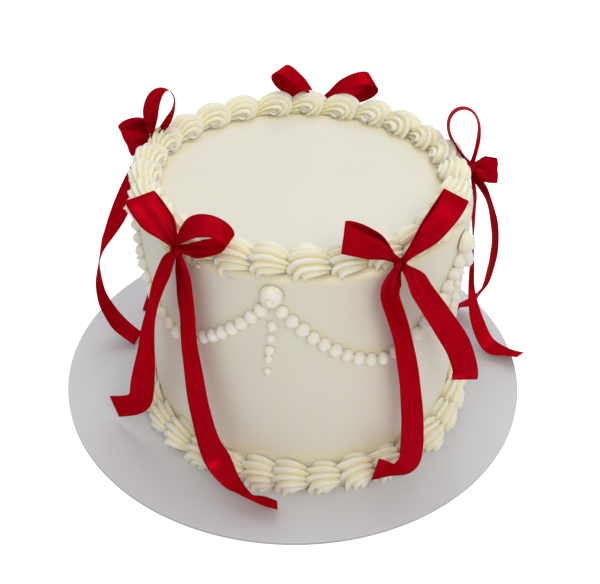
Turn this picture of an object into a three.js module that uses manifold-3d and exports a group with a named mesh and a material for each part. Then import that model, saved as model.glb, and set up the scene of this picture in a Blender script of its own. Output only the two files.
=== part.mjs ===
// A small round celebration cake on its flat white board: smooth cream sides, a piped shell border
// round the top edge and another round the foot, five pearl swags hung between five rosettes,
// a column of pointed pearls under each rosette, and five red satin bows with trailing ends.
// Millimetres, +Z up, origin at the centre of the board's underside.
import * as THREE from "three";
import { mergeVertices } from "three/addons/utils/BufferGeometryUtils.js";
import Module from "manifold-3d";

// Board and cake
const BOARD_DIAMETER = 250;
const BOARD_THICKNESS = 1.5;
const BOARD_SIDES = 72;
const CAKE_DIAMETER = 159;
const CAKE_HEIGHT = 120.6;
const CAKE_EDGE_ROUND = 4;
const CAKE_SIDES = 60;
const EDGE_STEPS = 2;
const CAKE_SHIFT = [5, -8];
const GAP = 0.3;
const ON_THE_WALL = CAKE_DIAMETER / 2 + 2 * GAP;
const COUNT = 5;
const FRONT_ANGLE = -90;
const STEP_ANGLE = 360 / COUNT;

// Shell borders: how many, how much closer they sit at the front than at the back, where the row runs,
// how far it is off the cake's axis, and the size of a shell
const TOP_BORDER = {
  shells: 27,
  crowding: 0.083,
  startAngle: -98.7,
  radius: 72,
  shift: [-2.5, 2.5],
  base: CAKE_HEIGHT - 1.5,
  height: 14.5,
  girth: 8.3,
  tilt: 22,
  seed: 11,
  inner: 0,
  floor: CAKE_HEIGHT + GAP,
  stations: [0, 1, 2, 4],
};
const FOOT_BORDER = {
  shells: 33,
  crowding: 0,
  startAngle: -92,
  radius: 79.2,
  shift: [0, 0],
  base: -2.2,
  height: 23,
  girth: 9.6,
  tilt: 20,
  seed: 29,
  inner: CAKE_DIAMETER / 2 + GAP,
  floor: GAP,
  stations: [0, 1, 2, 4],
};
const SHELL_RIDGES = 4;
const SHELL_GROOVE = 0.24;
const SHELL_ARC = 230;
const SHELL_DRIFT = 0.12;
const SHELL_UNEVEN = 0.1;
// Stations down a shell from its head to its tail: place along the row in shares of the pitch,
// height in shares of the border's, girth in shares of the border's, and heading in degrees
const SHELL_STATIONS = [
  [-0.32, 0.24, 0.82, 46],
  [-0.12, 0.42, 1, 16],
  [0.16, 0.4, 0.9, -12],
  [0.42, 0.26, 0.6, -22],
  [0.6, 0.16, 0.4, -14],
];

// Rosettes, swags and pearl columns
const ROSETTE_ANGLE = -99.4;
const ROSETTE_HEIGHT = 112.9;
const ROSETTE_RADIUS = 5.1;
const ROSETTE_DEPTH = 6;
const ROSETTE_SIDES = 10;
// From the wall to the tip, in shares of the rosette's radius and depth
const ROSETTE_PROFILE = [[0, 0], [1, 0], [1, 0.3], [0.7, 0.75], [0.3, 0.85], [0, 1.3]];
const SWAG_BEADS = 19;
const SWAG_END_ANGLE = 1.6;
const SWAG_TOP = 107.3;
const SWAG_LOW = 73.5;
const SWAG_HANG = 1.6;
const BEAD_RADIUS = 3.2;
const BEAD_SIDES = 5;
const BEAD_NECK = 0.45;
const BEAD_BELLY = 0.26;
const BEAD_SEAT = 1;
const PEARL_DRIFT = -0.4;
const PEARL_SUNK = 0.6;
const PEARL_DEPTH = 1.5;
const PEARL_POINT = 1.2;
const PEARL_FOOT = 0.9;
const PEARL_BELLY = 0.4;
const PEARL_SIDES = 6;
const PEARL_HEIGHTS = [96.6, 89.6, 82.7, 77.8, 70.2];
const PEARL_RADII = [2.45, 2.3, 2.65, 2, 1.8];

// Ribbon
const RIBBON_WIDTH = 12;
const RIBBON_THICKNESS = 0.8;
const RIBBON_PINCH = 0.42;
const PINCH_LENGTH = 14;
const LOOP_STEPS = 10;
const LOOP_START = 0.055;
const TINY = 0.01;
const BACK_FACE = 2;
const STEPS_PER_ROW = 1.5;
const KNOT_RADII = [3.3, 2.8, 4.6];
const DENT_GROW = 0.4;

// Each loop: where its far end lies from the knot (along the rim, outwards, up), the turn of the
// ribbon about that line, how far the end leans and the loop opens, bends, flares and twists.
// Each tail: points down the ribbon, as angle, distance from the cake's axis, height and turn from
// the direction that its faces look, which is straight outwards with a share of upwards, the faceLift.
const BOWS = [
  {
    name: "bow_front_left",
    knot: [-128.3, 85, 127.5],
    faceLift: 1,
    loops: [
      { end: [-25.9, -6.5, 11], roll: 49.1, lean: -2.2, open: -5.4, bend: -1.1, flare: -0.6, twist: 7.8 },
      { end: [19.6, -3.9, 18.6], roll: -84.3, lean: -1.6, open: 7.6, bend: -7, flare: 0.2, twist: 32.6 },
    ],
    tails: [
      [[-133, 89, 111, 10], [-136, 91, 96, 9], [-139, 92, 79, 1], [-141, 94, 58, -20],
        [-143, 96, 40, -51], [-145, 97, 28, -59], [-150, 100, 19, -51], [-157, 105, 9, -46]],
      [[-126, 86, 115, 24], [-125, 87, 98, 10], [-125, 87, 78, 17], [-121, 91, 47, 7],
        [-117, 93, 26, 9], [-112, 95, 15, -52], [-108, 97, 9, -71], [-104, 100, 8, -93],
        [-100, 100, 7, -75], [-96, 100, 5, -81]],
    ],
  },
  {
    name: "bow_front_right",
    knot: [-62.8, 85, 128],
    faceLift: 1,
    loops: [
      { end: [-20, -13.1, 16.6], roll: 8.3, lean: 3.6, open: 3.4, bend: -11.9, flare: 0.3, twist: -34.3 },
      { end: [39.1, -9.5, 16.5], roll: -30.3, lean: -3.3, open: -2.5, bend: -11.4, flare: -0.2, twist: 30.2 },
    ],
    tails: [
      [[-66, 87, 116, -20], [-63, 88, 100, -14], [-59, 88, 78, -4], [-56, 90, 50, 4],
        [-56, 94, 25, 12], [-59, 98, 18, -16], [-63, 96, 15, -70], [-68, 94, 17, -29]],
      [[-60, 89, 122, -7], [-57, 92, 113, -3], [-51, 95, 96, 18], [-45.5, 97.5, 80, 40],
        [-42, 99.7, 64, 39], [-42.6, 101.2, 58, 27]],
    ],
  },
  {
    name: "bow_right_back",
    knot: [8.5, 81, 124.5],
    faceLift: 1,
    loops: [
      { end: [25.8, -0.7, 17.5], roll: 162.9, lean: 4.1, open: 9.5, bend: -0.5, flare: 0.1, twist: -8.7 },
      { end: [-5.7, 11.3, -2.4], roll: -2, lean: -2.2, open: -1.7, bend: -3.6, flare: -0.2, twist: -11.2 },
    ],
    tails: [
      [[8, 87, 114, -21], [8, 93, 103, -4], [9, 98, 90, 2], [11, 102, 74, 14], [14, 105, 55, 31],
        [19, 108, 36, 54], [22, 109, 22, 74], [27, 109, 11, 109], [29, 105, 4, 105]],
      [[10, 85, 109, 26], [10, 87, 97, 33], [11, 89, 84, 29], [12, 91, 70, 26], [12, 92, 57, 34],
        [12, 94, 43, 34], [12, 97, 29, 40], [11, 102, 16, 41], [9, 107, 6, 32], [7, 114, 4, 16],
        [4, 123, 6, 12]],
    ],
  },
  {
    name: "bow_back",
    knot: [85, 84, 123],
    faceLift: 1,
    loops: [
      { end: [25, -3, 14], roll: 69, lean: -3, open: -6, bend: -5.4, flare: -0.1, twist: 24 },
      { end: [-28, 0, 14], roll: -59, lean: -1.6, open: 8, bend: -1, flare: -0.2, twist: -21 },
    ],
    tails: [
      [[88, 88, 112, -20], [90, 90, 92, -10], [91, 91, 62, 10], [92, 93, 33, 15], [92, 99, 10, 5],
        [92, 108, 3, 0]],
      [[81, 88, 112, 15], [79, 90, 90, 20], [77, 91, 60, 10], [76, 94, 30, -10], [76, 100, 8, 0],
        [76, 110, 4, 10]],
    ],
  },
  {
    name: "bow_left_back",
    knot: [159, 82, 127],
    faceLift: 0,
    loops: [
      { end: [-11.6, -4.4, 21.5], roll: 50.2, lean: 0.2, open: -6.8, bend: -0.4, flare: -0.3, twist: 42.1 },
      { end: [1, 9, 4.5], roll: -13.1, lean: 5.6, open: 7.7, bend: -8.7, flare: -0.1, twist: 3.5 },
    ],
    tails: [
      [[162, 87, 117, -45], [164, 92, 105, -56], [167, 98, 90, -71], [170, 104, 77, -40],
        [171, 108, 70, -21], [171, 111, 60, -13], [170, 114, 48, -10], [170, 114, 35, -4],
        [169, 112, 24, -7], [168, 108, 12, 4], [168, 97, 3, -2]],
      [[156, 88, 112, 0], [155, 90, 90, 10], [154, 92, 60, 20], [153, 95, 30, 10], [152, 101, 9, 0],
        [151, 109, 5, -12]],
    ],
  },
];

const UP = new THREE.Vector3(0, 0, 1);
const ICING = 0xf1eddc;
const PIPING = 0xf3efdf;
const BOARD_WHITE = 0xe4e3e6;
const SATIN_RED = 0x9c0514;

const wasm = await Module();
wasm.setup();

function radians(degrees) {
  return (degrees * Math.PI) / 180;
}

function smoothStep(x) {
  const t = Math.min(1, Math.max(0, x));
  return t * t * (3 - 2 * t);
}

// The same small unevenness each time the cake is made
function randomFrom(seed) {
  let state = seed;
  return () => {
    state = (state * 1664525 + 1013904223) % 4294967296;
    return state / 4294967296;
  };
}

// The axes of a place on the rim: along the rim, outwards and up
function rimAxes(angle) {
  const a = radians(angle);
  return {
    along: new THREE.Vector3(-Math.sin(a), Math.cos(a), 0),
    out: new THREE.Vector3(Math.cos(a), Math.sin(a), 0),
  };
}

function onCake([angle, radius, height]) {
  return rimAxes(angle).out.multiplyScalar(radius).setZ(height);
}

// The point moved out to a distance from the cake's axis, if it lies nearer than that
function clearOf(point, distance) {
  const spread = Math.max(1, distance / Math.hypot(point.x, point.y));
  return point.setX(point.x * spread).setY(point.y * spread);
}

function toSolid(geometry) {
  const bare = geometry.index ? geometry.toNonIndexed() : geometry.clone();
  bare.deleteAttribute("normal");
  bare.deleteAttribute("uv");
  const merged = mergeVertices(bare, 1e-4);
  return new wasm.Manifold(
    new wasm.Mesh({
      numProp: 3,
      vertProperties: new Float32Array(merged.attributes.position.array),
      triVerts: new Uint32Array(merged.index.array),
    }),
  );
}

function toGeometry(solid) {
  const mesh = solid.getMesh();
  const positions = new Float32Array(mesh.numVert * 3);
  for (let i = 0; i < mesh.numVert; i++) {
    const first = i * mesh.numProp;
    positions.set(mesh.vertProperties.subarray(first, first + 3), i * 3);
  }
  const geometry = new THREE.BufferGeometry();
  geometry.setAttribute("position", new THREE.BufferAttribute(positions, 3));
  geometry.setIndex(new THREE.BufferAttribute(new Uint32Array(mesh.triVerts), 1));
  return geometry.toNonIndexed();
}

function join(solids) {
  return solids.reduce((sum, solid) => sum.add(solid));
}

// The largest body of a solid, without any loose scrap that a cut leaves
function mainBody(solid) {
  return solid.decompose().reduce((largest, body) => (body.volume() > largest.volume() ? body : largest));
}

// A closed skin over rings of points, with a point or a flat face at each end. The quads of the
// column named as turned are split the other way, so that the two faces of a ribbon match.
function skinOf(rings, firstPoint, lastPoint, turned = -1) {
  const points = rings.flat();
  const around = rings[0].length;
  const triangles = [];
  for (let i = 0; i + 1 < rings.length; i++) {
    for (let j = 0; j < around; j++) {
      const k = (j + 1) % around;
      const a = i * around + j;
      const b = i * around + k;
      if (j === turned) triangles.push(a, b, b + around, a, b + around, a + around);
      else triangles.push(a, b, a + around, b, b + around, a + around);
    }
  }
  const first = points.push(firstPoint) - 1;
  const last = points.push(lastPoint) - 1;
  const lastRing = (rings.length - 1) * around;
  for (let j = 0; j < around; j++) {
    const k = (j + 1) % around;
    triangles.push(first, k, j);
    triangles.push(last, lastRing + j, lastRing + k);
  }
  const geometry = new THREE.BufferGeometry();
  geometry.setFromPoints(points);
  geometry.setIndex(triangles);
  return geometry;
}

// The cake's body with its slightly rounded top edge
function cakeGeometry() {
  const radius = CAKE_DIAMETER / 2;
  const inner = radius - CAKE_EDGE_ROUND;
  const shoulder = CAKE_HEIGHT - CAKE_EDGE_ROUND;
  const profile = [new THREE.Vector2(0, GAP), new THREE.Vector2(radius, GAP)];
  for (let i = 0; i <= EDGE_STEPS; i++) {
    const a = (i / EDGE_STEPS) * (Math.PI / 2);
    const across = inner + CAKE_EDGE_ROUND * Math.cos(a);
    profile.push(new THREE.Vector2(across, shoulder + CAKE_EDGE_ROUND * Math.sin(a)));
  }
  profile.push(new THREE.Vector2(0, CAKE_HEIGHT));
  return new THREE.LatheGeometry(profile, CAKE_SIDES).rotateX(Math.PI / 2);
}

// A closed skin over rings of points that come back to the first ring
function ringSkinOf(rings) {
  const around = rings[0].length;
  const triangles = [];
  rings.forEach((ring, i) => {
    const here = i * around;
    const next = ((i + 1) % rings.length) * around;
    for (let j = 0; j < around; j++) {
      const k = (j + 1) % around;
      triangles.push(here + j, here + k, next + j, here + k, next + k, next + j);
    }
  });
  const geometry = new THREE.BufferGeometry();
  geometry.setFromPoints(rings.flat());
  geometry.setIndex(triangles);
  return geometry;
}

// One section of a shell: ridges and grooves over the arc that shows, closed along its base
function shellSection(border, pitch, angle, size, [place, rise, girth, heading]) {
  const { along, out } = rimAxes(angle + place * pitch);
  const lean = radians(border.tilt);
  const upright = UP.clone().multiplyScalar(Math.cos(lean)).addScaledVector(out, Math.sin(lean));
  const across = along.clone().cross(upright);
  const centre = onCake([angle + place * pitch, border.radius, border.base]);
  centre.add(new THREE.Vector3(...border.shift, 0)).addScaledVector(upright, rise * border.height * size);
  const turn = radians(heading);
  const over = upright.clone().multiplyScalar(Math.cos(turn)).addScaledVector(along, -Math.sin(turn));
  const points = [];
  const last = 2 * SHELL_RIDGES;
  for (let j = 0; j <= last; j++) {
    const a = radians(SHELL_ARC * (j / last - 0.5));
    const depth = j % 2 ? 1 : 1 - SHELL_GROOVE;
    const reach = border.girth * girth * size * depth;
    const p = centre.clone().addScaledVector(over, reach * Math.cos(a));
    p.addScaledVector(across, reach * Math.sin(a));
    points.push(clearOf(p, border.inner).setZ(Math.max(p.z, border.floor)));
  }
  return points;
}

function borderSolid(border) {
  const random = randomFrom(border.seed);
  const pitch = 360 / border.shells;
  const rings = [];
  for (let i = 0; i < border.shells; i++) {
    const even = border.startAngle + pitch * (i + SHELL_DRIFT * (random() - 0.5));
    const fromFront = radians(even - FRONT_ANGLE);
    const angle = even - THREE.MathUtils.radToDeg(border.crowding * Math.sin(fromFront));
    const here = pitch * (1 - border.crowding * Math.cos(fromFront));
    const size = 1 + SHELL_UNEVEN * (random() - 0.5);
    border.stations.forEach((k) => rings.push(shellSection(border, here, angle, size, SHELL_STATIONS[k])));
  }
  return toSolid(ringSkinOf(rings));
}

// A pearl of piped cream: flat at the wall, round, drawn to a small point
function pearlGeometry(radius, point) {
  const depth = radius * PEARL_DEPTH;
  const profile = [
    new THREE.Vector2(0, -PEARL_SUNK),
    new THREE.Vector2(radius * PEARL_FOOT, -PEARL_SUNK),
    new THREE.Vector2(radius, depth * PEARL_BELLY),
    new THREE.Vector2(0, depth + point),
  ];
  return new THREE.LatheGeometry(profile, PEARL_SIDES).rotateX(Math.PI / 2);
}

// Turns a shape that is made along +Z so that it stands out from the cake's side
function onWall(geometry, angle, distance, height) {
  const { out } = rimAxes(angle);
  const turn = new THREE.Quaternion().setFromUnitVectors(UP, out);
  geometry.applyQuaternion(turn);
  const place = onCake([angle, distance, height]);
  return geometry.translate(place.x, place.y, place.z);
}

function cakeSolid() {
  const wall = CAKE_DIAMETER / 2;
  const pieces = [toSolid(cakeGeometry())];
  for (let i = 0; i < COUNT; i++) {
    const angle = ROSETTE_ANGLE + STEP_ANGLE * i;
    PEARL_HEIGHTS.forEach((height, k) => {
      const pearl = pearlGeometry(PEARL_RADII[k], PEARL_POINT);
      pieces.push(toSolid(onWall(pearl, angle + PEARL_DRIFT * k, wall, height)));
    });
  }
  return join(pieces);
}

// A rosette: a low swirled dome with a small nipple
function rosetteSolid(angle) {
  const profile = ROSETTE_PROFILE.map(([r, z]) => new THREE.Vector2(r * ROSETTE_RADIUS, z * ROSETTE_DEPTH));
  const dome = new THREE.LatheGeometry(profile, ROSETTE_SIDES).rotateX(Math.PI / 2);
  return toSolid(onWall(dome, angle, ON_THE_WALL, ROSETTE_HEIGHT));
}

// A swag: a string of touching beads hung in a curve between two rosettes
function swagSolid(startAngle) {
  const seat = CAKE_DIAMETER / 2 + BEAD_SEAT;
  const sweep = STEP_ANGLE - 2 * SWAG_END_ANGLE;
  const path = new THREE.Curve();
  path.getPoint = (u) => {
    const across = 2 * u - 1;
    const height = SWAG_LOW + (SWAG_TOP - SWAG_LOW) * Math.abs(across) ** SWAG_HANG;
    return onCake([startAngle + SWAG_END_ANGLE + sweep * u, seat, height]);
  };
  const section = (share, radius) => {
    const u = Math.min(1, Math.max(0, share));
    const centre = path.getPointAt(u);
    const heading = path.getTangentAt(u);
    const out = new THREE.Vector3(centre.x, centre.y, 0).normalize();
    const side = out.clone().cross(heading).normalize();
    const ring = [];
    for (let j = 0; j < BEAD_SIDES; j++) {
      const a = ((j + 0.5) / BEAD_SIDES) * 2 * Math.PI;
      const p = centre.clone().addScaledVector(out, -radius * Math.cos(a));
      ring.push(clearOf(p.addScaledVector(side, radius * Math.sin(a)), ON_THE_WALL));
    }
    return ring;
  };
  const rings = [];
  for (let i = 0; i < SWAG_BEADS; i++) {
    const middle = i + 0.5;
    if (i > 0) rings.push(section(i / SWAG_BEADS, BEAD_RADIUS * BEAD_NECK));
    rings.push(section((middle - BEAD_BELLY) / SWAG_BEADS, BEAD_RADIUS));
    rings.push(section((middle + BEAD_BELLY) / SWAG_BEADS, BEAD_RADIUS));
  }
  const [first, last] = [0, 1].map((u) => clearOf(path.getPointAt(u), ON_THE_WALL));
  return facingOut(rings, first, last);
}

// The closed skin over the rings, whichever way round they were made
function facingOut(rings, firstPoint, lastPoint, turned) {
  const solid = toSolid(skinOf(rings, firstPoint, lastPoint, turned));
  if (solid.volume() > 0) return solid;
  return toSolid(skinOf(rings.map((ring) => ring.reverse()), firstPoint, lastPoint, turned));
}

// A ribbon of the given centre points, width directions and half widths, as a thin closed strip,
// grown by an allowance for the dent that it presses into the cream
function stripSolid(points, widths, halves, grow) {
  const rings = points.map((p, i) => {
    const before = points[Math.max(0, i - 1)];
    const after = points[Math.min(points.length - 1, i + 1)];
    const tangent = after.clone().sub(before).normalize();
    const normal = widths[i].clone().cross(tangent).normalize().multiplyScalar(RIBBON_THICKNESS / 2 + grow);
    const side = widths[i].clone().multiplyScalar(halves[i] + grow);
    return [
      p.clone().add(side).add(normal),
      p.clone().sub(side).add(normal),
      p.clone().sub(side).sub(normal),
      p.clone().add(side).sub(normal),
    ];
  });
  return facingOut(rings, points[0], points[points.length - 1], BACK_FACE);
}

// Half the ribbon's width, gathered at the knot and full from a share of one
function halfWidth(share) {
  return (RIBBON_WIDTH / 2) * (RIBBON_PINCH + (1 - RIBBON_PINCH) * smoothStep(share));
}

// A loop of the bow: out from the knot along a teardrop and back
function loopSolid(knot, angle, loop, grow) {
  const { along, out } = rimAxes(angle);
  const reachOut = new THREE.Vector3()
    .addScaledVector(along, loop.end[0])
    .addScaledVector(out, loop.end[1])
    .addScaledVector(UP, loop.end[2]);
  const reach = reachOut.length();
  const axis = reachOut.clone().normalize();
  const upright = UP.clone().addScaledVector(axis, -UP.dot(axis)).normalize();
  const flat = axis.clone().cross(upright);
  const roll = radians(loop.roll);
  const width = upright.clone().multiplyScalar(Math.cos(roll)).addScaledVector(flat, Math.sin(roll));
  const across = axis.clone().cross(width);
  const place = (t, v) => {
    const q = Math.sin(Math.PI * t);
    const half = halfWidth(q * q * 2);
    const x = (reach + loop.lean * v) * q * q;
    const y = loop.open * (1 + loop.flare * v) * Math.sin(2 * Math.PI * t) * q + loop.bend * q ** 4;
    return knot
      .clone()
      .addScaledVector(axis, x)
      .addScaledVector(across, y)
      .addScaledVector(width, v * half);
  };
  const points = [];
  const widths = [];
  const halves = [];
  for (let i = 0; i <= LOOP_STEPS; i++) {
    const t = LOOP_START + (1 - 2 * LOOP_START) * (i / LOOP_STEPS);
    const a = place(t, 1);
    const b = place(t, -1);
    const side = a.clone().sub(b).multiplyScalar(0.5);
    const centre = a.clone().add(b).multiplyScalar(0.5);
    const heading = place(t + TINY, 0).sub(place(t - TINY, 0)).normalize();
    side.applyAxisAngle(heading, radians(loop.twist) * (1 - 2 * t));
    points.push(centre);
    halves.push(side.length());
    widths.push(side.normalize());
  }
  return stripSolid(points, widths, halves, grow);
}

// A trailing end of the ribbon through its rows, face outwards and turned as each row says
function tailSolid(knot, rows, faceLift, grow) {
  const stops = [knot, ...rows.map(onCake)];
  const turns = [rows[0][3], ...rows.map((row) => row[3])];
  const path = new THREE.CatmullRomCurve3(stops, false, "catmullrom", 0.5);
  const points = [];
  const widths = [];
  const halves = [];
  const steps = Math.round(rows.length * STEPS_PER_ROW);
  let length = 0;
  for (let i = 0; i <= steps; i++) {
    const t = i / steps;
    const p = path.getPoint(t);
    const tangent = path.getTangent(t);
    const outwards = new THREE.Vector3(p.x, p.y, 0).normalize().addScaledVector(UP, faceLift);
    const face = outwards.addScaledVector(tangent, -outwards.dot(tangent)).normalize();
    const row = Math.min(rows.length - 1, Math.floor(t * rows.length));
    const share = t * rows.length - row;
    const turn = radians(turns[row] + (turns[row + 1] - turns[row]) * share);
    const level = face.clone().cross(tangent);
    const side = level.multiplyScalar(Math.cos(turn)).addScaledVector(face, Math.sin(turn));
    if (i > 0) length += p.distanceTo(points[i - 1]);
    points.push(p);
    widths.push(side.normalize());
    halves.push(halfWidth(length / PINCH_LENGTH));
  }
  return stripSolid(points, widths, halves, grow);
}

function knotSolid(knot, angle, grow) {
  const radii = KNOT_RADII.map((radius) => radius + grow);
  const ball = new THREE.IcosahedronGeometry(1, 0).scale(...radii);
  ball.rotateZ(radians(angle + 90));
  return toSolid(ball.translate(knot.x, knot.y, knot.z));
}

// A bow's knot, loops and tails in one piece, or the dent that it presses into the piping
function bowSolid(bow, grow) {
  const knot = onCake(bow.knot);
  const angle = bow.knot[0];
  const loops = bow.loops.map((loop) => loopSolid(knot, angle, loop, grow));
  const tails = bow.tails.map((rows) => tailSolid(knot, rows, bow.faceLift, grow));
  return mainBody(join([knotSolid(knot, angle, grow), ...loops, ...tails]));
}

function material(colour, roughness) {
  return new THREE.MeshStandardMaterial({ color: colour, roughness, metalness: 0 });
}

function addMesh(group, name, geometry, finish) {
  const mesh = new THREE.Mesh(geometry, finish);
  mesh.name = name;
  group.add(mesh);
  return mesh;
}

const part = new THREE.Group();
const boardRadius = BOARD_DIAMETER / 2;
const boardGeometry = new THREE.CylinderGeometry(boardRadius, boardRadius, BOARD_THICKNESS, BOARD_SIDES);
const board = addMesh(part, "board", boardGeometry, material(BOARD_WHITE, 0.4));
board.rotation.x = Math.PI / 2;
board.position.z = BOARD_THICKNESS / 2;

const cake = new THREE.Group();
cake.position.set(CAKE_SHIFT[0], CAKE_SHIFT[1], BOARD_THICKNESS);
part.add(cake);

const dents = join(BOWS.map((bow) => bowSolid(bow, DENT_GROW)));
const borderGeometry = (border) => toGeometry(mainBody(borderSolid(border).subtract(dents)));
addMesh(cake, "cake", toGeometry(cakeSolid()), material(ICING, 0.5));
addMesh(cake, "top_border", borderGeometry(TOP_BORDER), material(PIPING, 0.45));
addMesh(cake, "foot_border", borderGeometry(FOOT_BORDER), material(PIPING, 0.45));
BOWS.forEach((bow, i) => {
  const angle = ROSETTE_ANGLE + STEP_ANGLE * i;
  addMesh(cake, `rosette_${i + 1}`, toGeometry(rosetteSolid(angle)), material(PIPING, 0.45));
  addMesh(cake, `swag_${i + 1}`, toGeometry(swagSolid(angle)), material(PIPING, 0.45));
  addMesh(cake, bow.name, toGeometry(bowSolid(bow, 0)), material(SATIN_RED, 0.35));
});

export default part;
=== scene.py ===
import math

import bpy
import numpy as np
from mathutils import Matrix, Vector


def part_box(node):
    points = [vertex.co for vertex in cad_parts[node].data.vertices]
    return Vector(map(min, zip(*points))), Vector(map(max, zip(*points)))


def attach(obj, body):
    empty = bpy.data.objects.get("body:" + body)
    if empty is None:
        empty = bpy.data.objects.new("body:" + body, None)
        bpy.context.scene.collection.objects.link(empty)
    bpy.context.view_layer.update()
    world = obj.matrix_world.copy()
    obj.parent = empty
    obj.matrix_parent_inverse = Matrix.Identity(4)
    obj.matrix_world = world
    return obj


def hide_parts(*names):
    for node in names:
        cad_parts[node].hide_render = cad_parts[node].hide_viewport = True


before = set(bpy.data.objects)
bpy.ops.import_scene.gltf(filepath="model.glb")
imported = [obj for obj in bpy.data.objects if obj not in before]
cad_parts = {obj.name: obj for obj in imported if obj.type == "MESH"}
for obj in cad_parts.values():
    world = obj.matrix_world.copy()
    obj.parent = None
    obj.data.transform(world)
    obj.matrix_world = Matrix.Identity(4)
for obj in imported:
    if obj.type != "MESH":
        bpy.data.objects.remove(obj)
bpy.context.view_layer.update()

MM = 0.001
UP = np.array([0.0, 0.0, 1.0])


def box_of(node):
    """The lowest and the highest corner of a node of the frame, in millimetres to two places."""
    return [np.round(np.array(corner) / MM, 2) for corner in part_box(node)]


# Board and cake, as large as in the frame. The cake's box includes its pearls, but none of them stands
# out at its right or its back. The board's edge is bare card, which fades out at its upper round.
BOARD_HIGH = box_of("board")[1]
CAKE_LOW, CAKE_HIGH = box_of("cake")
BOARD_RADIUS, _, BOARD_THICKNESS = BOARD_HIGH
BOARD_EDGE_ROUND = 0.25
BOARD_EDGE_FADE = 0.8
BOARD_SIDES = 192
BOARD_RINGS = 24
CAKE_RADIUS = 79.5
CAKE_SHIFT = CAKE_HIGH[:2] - CAKE_RADIUS
CAKE_HEIGHT = CAKE_HIGH[2] - BOARD_THICKNESS
CAKE_UNDERSIDE = CAKE_LOW[2] - BOARD_THICKNESS
CAKE_EDGE_ROUND = 2.6
CAKE_FOOT_BEVEL = 0.5
CAKE_SIDES = 384
SIDE_ROWS = 130
EDGE_ROWS = 7
TOP_ROWS = 60
TOP_RIM_STEP = 0.8
AXIS_RADIUS = 0.01

# Unevenness of the smooth cream. Each wave of the side: depth, how many go round the cake, how much
# they turn for each millimetre of height, and where they start. The waves set in near the edge.
SIDE_WAVES = [(0.22, 2, 0, 0.6), (0.12, 5, 1 / 31, 0), (0.09, 3, -1 / 17, 0)]
SIDE_WAVES_FROM = 6
SIDE_WAVES_REACH = 5
TOP_WAVE = 0.2
TOP_WAVE_ALONG = 23
TOP_WAVE_ACROSS = 29
TOP_WAVE_START = 1

# Painted yellow shade of the smooth cream where piping lies against it: its strength, and where it fades
SPOT_SHADE = 0.25
SPOT_REACH = 1.1
SPOT_SEARCH = 8
BEAD_SPOT_MARGIN = 0.9
FOOT_SHADE = 0.28
FOOT_SHADE_HEIGHT = 18
FOOT_REACH = 3
RIM_SHADE = 0.3
RIM_SHADE_DROP = 1
RIM_REACH = 2
TOP_RING_INNER = 64
TOP_RING_REACH = 1.6
FAR_AWAY = 99.0

# Shell borders: count, how much closer the shells stand in front, where the row starts and runs,
# its size and lean, the teeth of the nozzle and the seed of the unevenness
TOP_SHELLS_SUNK = 1.5
TOP_BORDER = {
    "shells": 27,
    "crowding": 0.083,
    "start": -98.7,
    "radius": 72,
    "shift": (-2.5, 2.5),
    "base": CAKE_HEIGHT - TOP_SHELLS_SUNK,
    "height": 14.5,
    "girth": 8.3,
    "tilt": 22,
    "teeth": 12,
    "seed": 11,
}
FOOT_BORDER = {
    "shells": 33,
    "crowding": 0,
    "start": -92,
    "radius": 79.2,
    "shift": (0, 0),
    "base": -2.2,
    "height": 23,
    "girth": 9.6,
    "tilt": 20,
    "teeth": 12,
    "seed": 29,
}
# Down a shell from its closed start under the head to its tail: place along the row in pitches,
# rise in shares of the border's height, girth in shares of the border's, heading in degrees, and
# how far it hangs outwards in shares of the girth
SHELL_KEYS = np.array([
    [0.17, -0.20, 0.04, 150, 0.34],
    [0.14, -0.16, 0.52, 146, 0.34],
    [0.08, -0.07, 0.82, 132, 0.28],
    [-0.01, 0.04, 0.97, 112, 0.18],
    [-0.11, 0.15, 1.05, 88, 0.08],
    [-0.17, 0.26, 1.07, 62, 0.0],
    [-0.13, 0.36, 1.0, 36, 0.0],
    [0.03, 0.40, 0.92, 14, 0.0],
    [0.22, 0.36, 0.76, -6, 0.0],
    [0.42, 0.26, 0.54, -18, 0.0],
    [0.60, 0.15, 0.34, -20, 0.0],
    [0.76, 0.06, 0.16, -16, 0.0],
])
SHELL_STEPS = 31
# The lobes that the nozzle's teeth leave: points of each, how blunt and deep they are, how much of
# that depth they have at the closed start, and how many degrees they twist down the shell
TOOTH_POINTS = 8
TOOTH_FULLNESS = 0.55
TOOTH_DEPTH = 0.33
TOOTH_START_DEPTH = 0.8
TOOTH_START = 0.2
TOOTH_TWIST = 30
TWIST_START = 0.3
# How far the shells reach below the cake's top and below the board's upper face
TOP_SHELLS_HANG = 9
FOOT_SUNK = 0.8

# Unevenness of the shells: place in pitches, lean and skew in degrees, the rest in shares
SHELL_PLACE_SPREAD = 0.12
SHELL_SIZE_SPREAD = 0.1
SHELL_LEAN_SPREAD = 10
SHELL_SKEW_SPREAD = 16
SHELL_TWIST_SPREAD = 0.5
TOOTH_SIZE_SPREAD = 0.15

# Painted yellow shade of the shells in their grooves, at their tail, at their closed start and low down
GROOVE_SHADE = 0.65
GROOVE_SHARPNESS = 1.3
TAIL_SHADE = 0.7
TAIL_FROM = 0.6
START_SHADE = 0.6
START_TO = 0.16
LOW_SHADE = 0.4
LOW_REACH = 4

# Angles round the cake, with the side that the photo shows at -90 degrees
ROSETTE_COUNT = 5
FRONT_ANGLE = -90
STEP_ANGLE = 360 / ROSETTE_COUNT

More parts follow.
